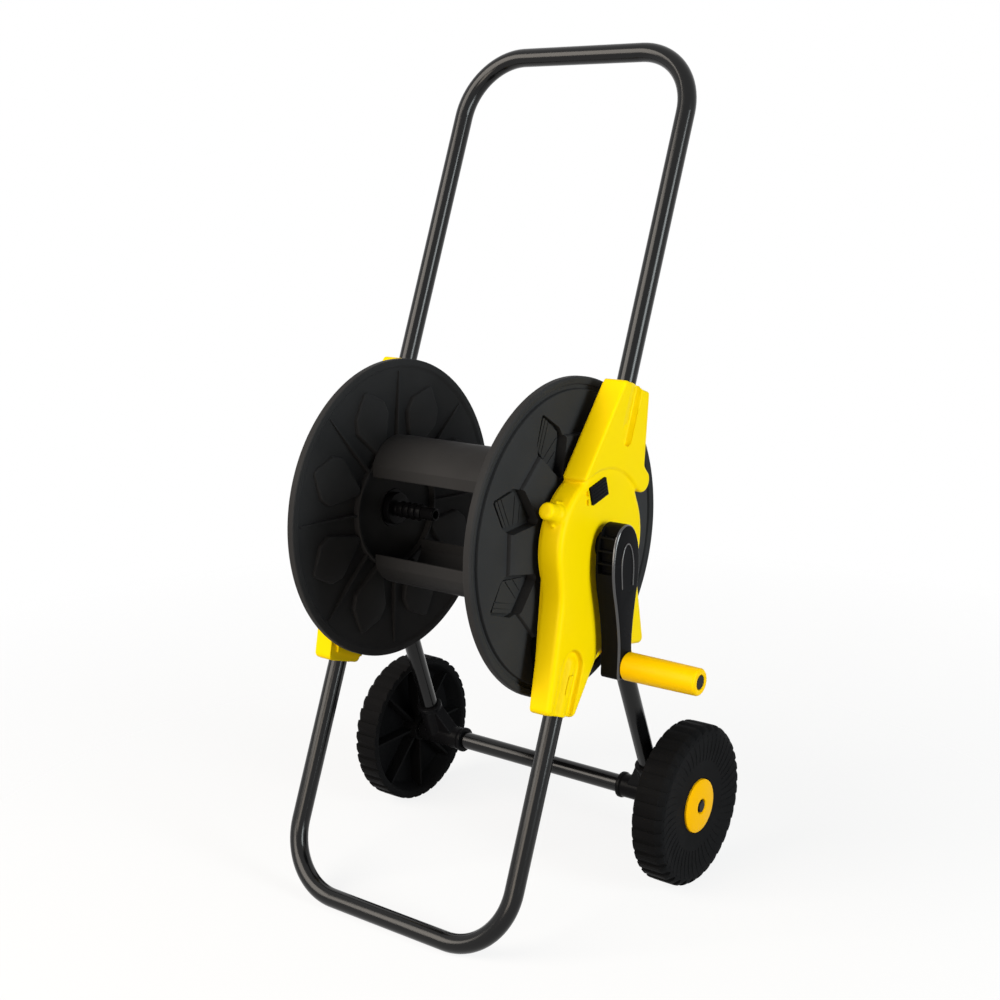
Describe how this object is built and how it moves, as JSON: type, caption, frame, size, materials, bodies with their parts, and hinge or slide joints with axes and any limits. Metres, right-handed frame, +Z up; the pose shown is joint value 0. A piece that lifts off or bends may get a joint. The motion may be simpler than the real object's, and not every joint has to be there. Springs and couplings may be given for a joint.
{
  "type": "garden hose reel cart",
  "caption": "Two-wheeled garden hose reel cart: two bent tube loops, moulded side brackets, an open two-slat drum turned by a crank, and a pull bar",
  "frame": {"origin": "on the floor, under the middle of the bounding box", "axes": "+X across the cart towards the crank, +Y back towards the wheels, +Z up"},
  "size_m": [0.464, 0.3656, 0.8495],
  "materials": {
    "black_powder_coat": "gloss black powder coat on steel tube",
    "yellow_plastic": "bright yellow moulded polypropylene, soft gloss",
    "grip_plastic": "warm yellow moulded plastic, soft gloss",
    "cap_plastic": "orange-yellow moulded plastic",
    "grey_plastic": "dark grey moulded polypropylene, satin",
    "black_plastic": "black moulded plastic, satin",
    "bush_plastic": "natural white acetal",
    "zinc_steel": "zinc plated steel",
    "black_steel": "blackened steel",
    "wheel_plastic": "black moulded plastic, matt",
    "seal_rubber": "soft black rubber"
  },
  "bodies": {
    "frame": {"handle_tube": "black_powder_coat", "foot_tube": "black_powder_coat", "left_rear_leg": "black_powder_coat", "right_rear_leg": "black_powder_coat", "axle_tube": "black_powder_coat", "axle_rod": "black_steel", "left_leg_connector": "black_plastic", "right_leg_connector": "black_plastic", "left_axle_washer": "zinc_steel", "right_axle_washer": "zinc_steel", "left_push_nut": "black_steel", "right_push_nut": "black_steel", "left_bracket_shell": "yellow_plastic", "right_bracket_shell": "yellow_plastic", "left_bracket_back": "yellow_plastic", "right_bracket_back": "yellow_plastic", "left_bracket_screws": "zinc_steel", "right_bracket_screws": "zinc_steel", "left_bush": "bush_plastic", "right_bush": "bush_plastic", "inlet_nipple": "black_plastic", "inlet_screws": "zinc_steel", "inlet_o_rings": "seal_rubber"},
    "reel": {"left_flange": "grey_plastic", "right_flange": "grey_plastic", "upper_slat": "grey_plastic", "lower_slat": "grey_plastic", "drive_spindle": "black_plastic", "water_spindle": "black_plastic", "spindle_screws": "zinc_steel", "outlet_nipple": "black_plastic", "crank_arm": "black_plastic", "crank_cap": "black_plastic", "crank_screw": "zinc_steel", "grip_pin": "black_steel"},
    "grip": {"crank_grip": "grip_plastic"},
    "left_wheel_body": {"left_wheel": "wheel_plastic", "left_hub_cap": "cap_plastic"},
    "right_wheel_body": {"right_wheel": "wheel_plastic", "right_hub_cap": "cap_plastic"},
    "drum_lock": {"drum_lock_slider": "black_plastic", "drum_lock_plate": "black_plastic", "brake_pad": "seal_rubber"}
  },
  "joints": [
    {"name": "reel_spin", "type": "hinge", "parent": "frame", "child": "reel", "pos_m": [-0.028, -0.01826, 0.381], "axis": [1, 0, 0], "continuous": true},
    {"name": "grip_spin", "type": "hinge", "parent": "reel", "child": "grip", "pos_m": [0.192, -0.01826, 0.2645], "axis": [1, 0, 0], "continuous": true},
    {"name": "left_wheel_spin", "type": "hinge", "parent": "frame", "child": "left_wheel_body", "pos_m": [-0.1985, 0.08922, 0.0845], "axis": [1, 0, 0], "continuous": true},
    {"name": "right_wheel_spin", "type": "hinge", "parent": "frame", "child": "right_wheel_body", "pos_m": [0.1425, 0.08922, 0.0845], "axis": [1, 0, 0], "continuous": true},
    {"name": "drum_lock_slide", "type": "slide", "parent": "frame", "child": "drum_lock", "axis": [0, 0.0674, -0.9977], "range_m": [0, 0.004]}
  ]
}
